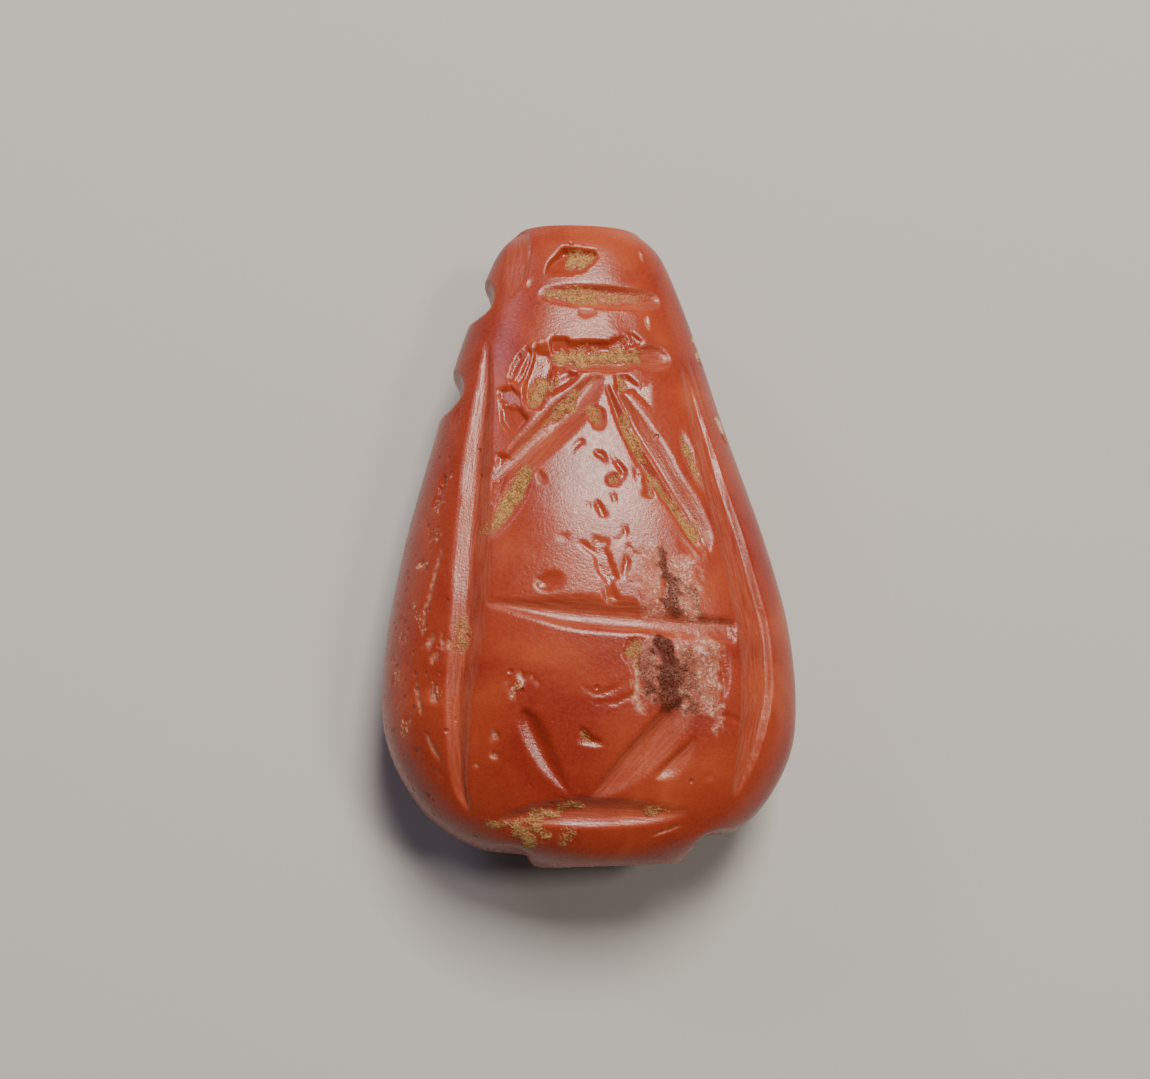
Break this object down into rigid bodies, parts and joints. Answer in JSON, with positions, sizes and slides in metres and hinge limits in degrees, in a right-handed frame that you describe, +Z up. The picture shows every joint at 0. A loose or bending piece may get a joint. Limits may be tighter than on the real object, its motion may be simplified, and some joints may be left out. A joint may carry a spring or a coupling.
{
  "type": "carved stone bead",
  "caption": "Drop shaped carnelian bead lying on its back, drilled lengthwise for a string, its face carved with wheel-cut lines.",
  "frame": {"origin": "under the middle of the stone, on the surface that it lies on", "axes": "+Y along the stone to its narrow end, +Z up out of the carved face, +X across it"},
  "size_m": [0.0223, 0.035, 0.0123],
  "materials": {
    "carnelian": "gloss"
  },
  "bodies": {
    "root": {"carnelian_bead": "carnelian"}
  },
  "joints": []
}
